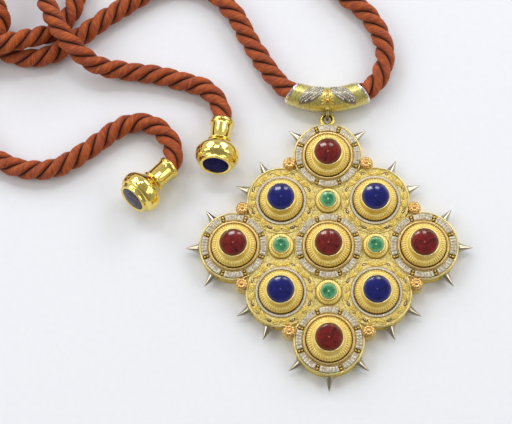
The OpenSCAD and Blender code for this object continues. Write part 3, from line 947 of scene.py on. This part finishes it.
def make_leaves(material):
    """Two leaves to each eighth of the ring round a blue roundel, leaning away from each other."""
    parts = []
    one = leaf()
    for k in range(8):
        for side in (-1, 1):
            place = turned(45 * k + side * LEAF_TURN) @ shift(LEAF_R, 0, 0, -side * 22)
            parts.append((place, one))
    put_each(None, "leaves", join(parts), 70, material, BLUE_AT, RELIEF_TOP - 0.12)


RIM_R = 11.58
RIM_WIRE = 0.3
RIM_STEPS = 240


def make_rims(material):
    """A thin wire on the edge of each outer lobe, where the lobe bounds the case."""
    centres = RED_AT + BLUE_AT
    parts = []
    for x, y in centres:
        edge = []
        for k in range(RIM_STEPS):
            a = 2 * pi * k / RIM_STEPS
            p = Vector((x + RIM_R * cos(a), y + RIM_R * sin(a), CASE_TOP + 0.1))
            inside = abs(p.x) + abs(p.y) < 2 * STEP + 1.5
            meets = any((p.x - cx) ** 2 + (p.y - cy) ** 2 < (LOBE_R + 0.1) ** 2
                        for cx, cy in centres if (cx, cy) != (x, y))
            edge.append(None if inside or meets else p)
        if not any(edge):
            continue
        first = next(k for k in range(RIM_STEPS) if edge[k] and not edge[k - 1])
        line = []
        for p in edge[first:] + edge[:first]:
            if p:
                line.append(p)
                continue
            if len(line) > 3:
                parts.append((Matrix.Identity(4), wire(line, RIM_WIRE)))
            line = []
    put("rim_wires", mesh_from(*join(parts), sharp=180), material)


# Spikes

SPIKE_Z = 2.6
SPIKE_FROM = 11.85
SPIKE_TIP = 5.1
MOUNT_R = 2.2
CORNER_TURN = 53
EDGE_TURN = 21


def spike_places():
    """Each spike's lobe and outward angle."""
    pair = (-CORNER_TURN, CORNER_TURN)
    three = (-CORNER_TURN, 0, CORNER_TURN)
    edge = (-EDGE_TURN, EDGE_TURN)
    rows = [
        ((0, 2), 90, pair), ((-2, 0), 180, three), ((2, 0), 0, three), ((0, -2), 270, three),
        ((-1, 1), 138, edge), ((1, 1), 42, edge), ((-1, -1), 228, edge), ((1, -1), 312, edge),
    ]
    return [((x * STEP, y * STEP), angle + turn) for (x, y), angle, turns in rows for turn in turns]


def make_spikes(material, mount_metal):
    """Polished cones, each on a small round collar in a low round mount."""
    collar = [(0, 0), (1.6, 0)] + arc((1.52, 0.18), 0.14, -70, 90, 5)
    cone = [(1.58, 0.36)] + curve((1.62, 0.4), (1.04, 2.1), (0.05, SPIKE_TIP), 12)
    mesh = mesh_from(*lathe(collar + cone + [(0, SPIKE_TIP + 0.02)], 32), sharp=50)
    mount = [(0, -0.3), (MOUNT_R, -0.3), (MOUNT_R, 0.1)] + arc((MOUNT_R - 0.3, 0.1), 0.3, 0, 70, 5)
    mount += [(1.75, 0.5), (1.5, 0.52), (0, 0.52)]
    mount_mesh = mesh_from(*lathe(mount, 32), sharp=50)
    lie = turned(90, "Y")
    for i, ((x, y), angle) in enumerate(spike_places(), 1):
        place = at(x, y, SPIKE_Z, angle) @ Matrix.Translation((SPIKE_FROM * MM, 0, 0)) @ lie
        put(f"spike_{i}", mesh, material, ["spikes"], place)
        put(f"spike_mount_{i}", mount_mesh, mount_metal, place=place)


# Bail

BAIL_R = 4.4
BAIL_BEND = 30
BAIL_Y = 53.45
BAIL_Z = 4.55
FLOWER_Y = 51.7


def on_bail(x, y, lift):
    """The point on the bail's tube over a place in plan, raised by lift square to the tube, and
    the normal there."""
    out = Vector((x, y - BAIL_Y - BAIL_BEND))
    across = BAIL_BEND - out.length
    height = sqrt(max(0.0, BAIL_R ** 2 - across ** 2))
    sideways = out.normalized() * -across
    normal = Vector((*sideways, height)).normalized()
    return Vector((x, y, BAIL_Z + height)) + normal * lift, normal


def facing(place, normal, turn=0):
    """A matrix that stands a piece on a place with its Z along the normal."""
    stand = normal.to_track_quat("Z", "Y").to_matrix().to_4x4()
    return Matrix.Translation(place) @ stand @ turned(turn)


BAIL_LEAF_ROOT = (1.2, 56.5)
BAIL_LEAF_TIP = (10, 51.3)
BAIL_LEAF_W = 4.6
BAIL_STONE_ROWS = 13
BAIL_STONE_PITCH = 0.78


class BailLeaf:
    """The plan of one leaf on the bail, pointed at both ends. side is -1 or 1."""

    def __init__(self, side):
        self.root, tip = (Vector((side * x, y)) for x, y in (BAIL_LEAF_ROOT, BAIL_LEAF_TIP))
        self.way = tip - self.root
        self.across = Vector((-self.way.y, self.way.x)).normalized()

    def half(self, t):
        return BAIL_LEAF_W / 2 * (4 * t * (1 - t)) ** 0.8

    def on(self, t, offset, lift):
        """The point and the normal at t of the leaf's length and an offset from its midrib."""
        p = self.root + self.way * t + self.across * offset
        return on_bail(p.x, p.y, lift)

    def plate(self, flip, rows=40, columns=16):
        """A crowned plate that follows the tube."""
        top, low = [], []
        for i in range(rows + 1):
            t = i / rows
            for j in range(columns + 1):
                u = 2 * j / columns - 1
                point = self.on(t, self.half(t) * u, 0.12 + 0.34 * (1 - u * u) ** 0.5)[0]
                top.append(point)
                low.append(on_bail(point.x, point.y, 0.06)[0])
        return slab(top, low, columns, flip)


def make_bail_leaves(stone, groove):
    """Leaves paved with small stones in slanting rows, on a dark plate."""
    plates, cuts = [], []
    for side in (-1, 1):
        leaf_plan = BailLeaf(side)
        plates.append((Matrix.Identity(4), leaf_plan.plate(side < 0)))
        for row in range(BAIL_STONE_ROWS):
            t = 0.10 + 0.80 * row / (BAIL_STONE_ROWS - 1)
            for j in range(-2, 3):
                offset = j * BAIL_STONE_PITCH
                behind = t - 0.06 * abs(j)
                if abs(offset) > leaf_plan.half(t) - 0.25 or behind < 0.04:
                    continue
                place, normal = leaf_plan.on(behind, offset, 0.46 - 0.02 * j * j)
                cuts.append((facing(place, normal, 20 * row), round_cut(0.36 if j else 0.27)))
    plate_mesh = mesh_from(*join(plates), sharp=60)
    stone_mesh = mesh_from(*join(cuts), sharp=5)
    put("bail_leaf_plates", plate_mesh, groove, ["bail_leaves"])
    put("bail_leaf_stones", stone_mesh, stone, ["bail_leaves"])


FLOWER_PETALS = 12


def make_flower(petal_metal, bead_metal):
    """A flower on the middle of the bail: drop-shaped petals round a bead, with a short stem."""
    petals = []
    for k in range(FLOWER_PETALS):
        a = 2 * pi * k / FLOWER_PETALS
        for r, size, squash in ((1.15, 0.34, 1.0), (1.95, 0.30, 1.5 if k % 2 else 0.9)):
            place, normal = on_bail(r * cos(a), FLOWER_Y + r * sin(a) * 0.95, 0.02)
            turn = facing(place, normal) @ Matrix.Rotation(a, 4, "Z")
            petals.append((turn @ Matrix.Diagonal((1.5 * squash, 0.8, 0.9, 1)), ball(size, 6, 12)))
    put("flower_petals", mesh_from(*join(petals), sharp=180), petal_metal)
    place, normal = on_bail(0, FLOWER_Y, 0.15)
    parts = [(facing(place, normal), ball(0.8, 10, 20))]
    for i in range(5):
        place, normal = on_bail(0, FLOWER_Y + 1.9 + 0.42 * i, 0.05)
        parts.append((facing(place, normal) @ Matrix.Diagonal((1.5, 0.8, 0.8, 1)), ball(0.36, 6, 12)))
    put("flower_bead", mesh_from(*join(parts), sharp=180), bead_metal)


# Finials

FINIAL_AT = [((-37.04, 45.46, 4.07), 264.4), ((-55.42, 28.99, 4.07), 228.2)]
FINIAL_PITCH = 16
FINIAL_END = 18.5
FINIAL_SEAT = 18.0
FINIAL_DOT_AT = (3.72, 0, 1.75)


def finial_axes(yaw):
    axis = heading(yaw, FINIAL_PITCH)
    side = UP.cross(axis).normalized()
    return Matrix((side.cross(axis), side, axis)).transposed().to_4x4()


def finial_outline():
    """Section of a finial: cord ring, neck, bead, flared bulb, hollow front and lip."""
    outline = [(0, 0), (3.9, 0)] + arc((4.0, 0.25), 0.25, -90, 0, 3) + arc((4.0, 0.95), 0.25, 0, 90, 3)
    outline += [(3.9, 1.35), (3.72, 1.6), (3.7, 2.4), (3.66, 5.0), (3.7, 7.6)]
    outline += arc((3.85, 8.4), 0.35, -90, 90, 8)
    outline += [(3.95, 8.95), (4.2, 9.15), (7.0, 12.12)]
    outline += arc((5.15, 13.8), 2.5, -38, 0, 9) + [(7.62, 14.6), (7.52, 15.25), (7.34, 15.3)]
    outline += curve((7.34, 15.3), (7.25, 16.5), (6.6, 16.85), 6)
    outline += [(6.1, 16.95), (5.95, 17.1), (5.72, 17.5), (5.68, 18.2)]
    outline += arc((5.45, FINIAL_END - 0.23), 0.23, 0, 90, 4) + [(4.75, FINIAL_END)]
    return outline + [(4.55, FINIAL_END - 0.15), (4.55, FINIAL_SEAT), (0, FINIAL_SEAT)]


def make_finials(metal, glasses):
    """The finials and their enamel ends. Their meshes hold their place, so their boxes are true."""
    body = lathe(finial_outline(), 128)
    cap = lathe(enamel_outline(4.5, 0.35, 0.3), 96)
    dot = lathe(arc((0, 0), 0.5, 0, 90, 5), 16)
    pieces = []
    sideways = turned(90, "Y")
    for i, ((start, yaw), glass) in enumerate(zip(FINIAL_AT, glasses), 1):
        place = Matrix.Translation(start) @ finial_axes(yaw)
        knob = place @ shift(*FINIAL_DOT_AT) @ sideways
        body_mesh = mesh_from(*join([(place, body), (knob, dot)]), sharp=38)
        cap_place = place @ shift(0, 0, FINIAL_SEAT + 0.05)
        cap_mesh = mesh_from(*join([(cap_place, cap)]), sharp=50)
        one = put(f"finial_{i}_look", body_mesh, metal, [f"finial_{i}"])
        two = put(f"finial_enamel_{i}_look", cap_mesh, glass, [f"finial_enamel_{i}"])
        pieces.append([one, two])
    return pieces


# Light and floor

LAMP_DISTANCE = 1.6
WARM = (1, 0.99, 0.97)
COOL = (0.93, 0.97, 1.12)
LAMPS = [
    # name, elevation, azimuth, width and height in m, radiance, colour
    ("left", 38, 184, 0.9, 0.8, 2.3, WARM),
    ("right", 38, -4, 0.9, 0.8, 2.0, WARM),
    ("far_left", 36, 128, 0.8, 0.7, 3.8, COOL),
    ("far_right", 36, 50, 0.8, 0.7, 3.5, COOL),
    ("window_1", 58, 104, 0.26, 0.14, 22, WARM),
    ("window_2", 58, 78, 0.16, 0.12, 16, WARM),
]
# Upward part of the direction, and the brightness there; and the share of it on the near side
SKY = [(0.0, 0.75), (0.35, 0.66), (0.75, 0.50), (1.0, 0.42)]
SKY_NEAR = 0.45


def area_light(name, elevation, azimuth, width, height, radiance, colour):
    """A lamp that looks at the pendant."""
    out = heading(azimuth, elevation)
    data = bpy.data.lights.new(name, "AREA")
    data.shape = "RECTANGLE"
    data.size, data.size_y = width, height
    data.energy = radiance * pi * width * height
    data.color = colour
    lamp = bpy.data.objects.new(name, data)
    look = out.to_track_quat("Z", "Y").to_matrix().to_4x4()
    lamp.matrix_world = Matrix.Translation(Vector((0, 0.05, 0.01)) + out * LAMP_DISTANCE) @ look
    scene.collection.objects.link(lamp)


def make_light():
    """A pale room, darker overhead and on the near side, with soft lamps to both sides and beyond,
    and two small windows."""
    n = Nodes("room", bpy.data.worlds, "Background")
    x, y, z = n.split(n.add("ShaderNodeTexCoord").outputs["Generated"])
    n.set(Color=n.ramp(z, *[(rise, (grey, grey, grey)) for rise, grey in SKY]))
    n.set(Strength=n.math("MULTIPLY_ADD", n.step(y, -0.8, 0.2), 1 - SKY_NEAR, SKY_NEAR))
    scene.world = n.material
    for lamp in LAMPS:
        area_light(*lamp)


FLOOR_HALF = 3000
PAPER_DARK = (0.85, 0.857, 0.866)
PAPER_LIGHT = (0.89, 0.897, 0.906)


def make_floor():
    n = Nodes("paper")
    n.set(Base_Color=n.mix(n.noise(n.place(), 0.5, 4), PAPER_DARK, PAPER_LIGHT), Roughness=0.8)
    corners = [(x * FLOOR_HALF, y * FLOOR_HALF, 0) for x, y in ((-1, -1), (1, -1), (1, 1), (-1, 1))]
    mesh = mesh_from(corners, [(0, 1, 2, 3)])
    mesh.materials.append(n.material)
    floor = bpy.data.objects.new("floor", mesh)
    scene.collection.objects.link(floor)


# Everything together

make_camera()
make_floor()
make_light()
scene.view_settings.view_transform = "Standard"

cord_silk = silk()
knot = make_knot(cord_silk)
make_cord("cord_left", "neck_cord_left", cord_silk, NECK_LEFT, 0.4)
make_cord("cord_right", "neck_cord_right", cord_silk, NECK_RIGHT, 1.1)

# the domes and cups get painted shade at their foot, in the groove they stand in
dome_gold = satin_gold("gold_domes", LEMON_GOLD, YELLOW_GOLD, 0.58, foot=1.3, coat=1.0)
cup_gold = satin_gold("gold_cups", LEMON_GOLD, YELLOW_GOLD, 0.58, foot=0.6, coat=1.0)
leaf_gold = satin_gold("gold_leaves", (0.84, 0.66, 0.18), (0.72, 0.52, 0.10), 0.36, 0.05, 2.6)
ball_gold = satin_gold("gold_balls", (0.80, 0.58, 0.18), (0.66, 0.46, 0.12), 0.3)
stud_gold = polished("gold_studs", (0.78, 0.60, 0.36), 0.25)
rim_gold = polished("gold_rims", (0.92, 0.76, 0.32), 0.3)
# painted shade on the collar's inner ledge, down in the groove round the dome
collar_gold = polished("gold_collars", ORANGE_GOLD, 0.32, shade_within=COLLAR_IN - 0.03)
bright_gold = polished("gold_bright", (0.90, 0.71, 0.20), 0.08, (0.84, 0.62, 0.13))
rose = polished("rose_gold", ROSE_GOLD, 0.28, (0.66, 0.36, 0.09))
mount_gold = satin_gold("gold_mounts", (0.52, 0.42, 0.14), (0.34, 0.25, 0.07), 0.35)
white = polished("white_gold", WHITE_GOLD, 0.14)
# the spikes' darker patches are painted dark reflections
spike_gold = polished("spike_gold", (0.50, 0.45, 0.34), 0.12, (0.30, 0.25, 0.16))
# painted shade on the pave band's inner ledge, down in the groove round the dome
setting_metal = polished("setting_metal", (0.68, 0.58, 0.38), 0.3, shade_within=PAVE_IN - 0.02)
# dark seats as painted shade under the balls and the stud rings
painted_shade_metal = polished("painted_shade_metal", (0.15, 0.09, 0.03), 0.4)
leaf_plate = polished("leaf_plate", (0.34, 0.31, 0.24), 0.3)
diamonds = stones("diamonds", (0.42, 0.35, 0.22), (0.92, 0.86, 0.72), 1.6)
pave_stones = stones("pave_diamonds", (0.78, 0.68, 0.53), (1.0, 0.92, 0.79), 2.2)
red = enamel("red", ENAMEL_R)
blue = enamel("blue", ENAMEL_R)
green = enamel("green", GREEN_R + 0.05, rays=5)
navy = plain_enamel("enamel_navy", (0.005, 0.002, 0.050), (0.016, 0.008, 0.12), 0.1)
worn_navy = plain_enamel("enamel_worn", (0.030, 0.022, 0.045), (0.11, 0.082, 0.10), 0.6)

make_bosses(dome_gold, rim_gold, collar_gold)
make_enamels("red", RED_AT, ENAMEL_R, ENAMEL_AT, red)
make_enamels("blue", BLUE_AT, ENAMEL_R, ENAMEL_AT, blue)
make_enamels("green", GREEN_AT, GREEN_R, GREEN_ENAMEL_AT, green, 0.3, 0.25)
make_diamond_bars(setting_metal, diamonds)
make_pave_rings(setting_metal, pave_stones)
make_green_cups(cup_gold, rim_gold)
make_rosettes(rose)
make_ball_pairs(ball_gold, painted_shade_metal)
make_studs(stud_gold, painted_shade_metal)
make_leaves(leaf_gold)
make_rims(rim_gold)
make_spikes(spike_gold, mount_gold)
make_bail_leaves(diamonds, leaf_plate)
make_flower(leaf_gold, rose)
tail_ends = make_finials(bright_gold, (navy, worn_navy))
make_cord("tail_1", "tail_cord_1", cord_silk, TAIL_1, 2.0)
make_cord("tail_2", "tail_cord_2", cord_silk, TAIL_2, 0.9)

CAD_LOOKS = {
    "case": (case_gold(), "yellow_gold"),
    "back_plate": (rim_gold, "yellow_gold"),
    "bail_tube": (bail_gold(), "bail_gold"),
    "bail_ring_left": (white, "white_gold"),
    "bail_ring_right": (white, "white_gold"),
}
for name, (material, slot_name) in CAD_LOOKS.items():
    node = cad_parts[name]
    node.data.materials.clear()
    node.data.materials.append(material)
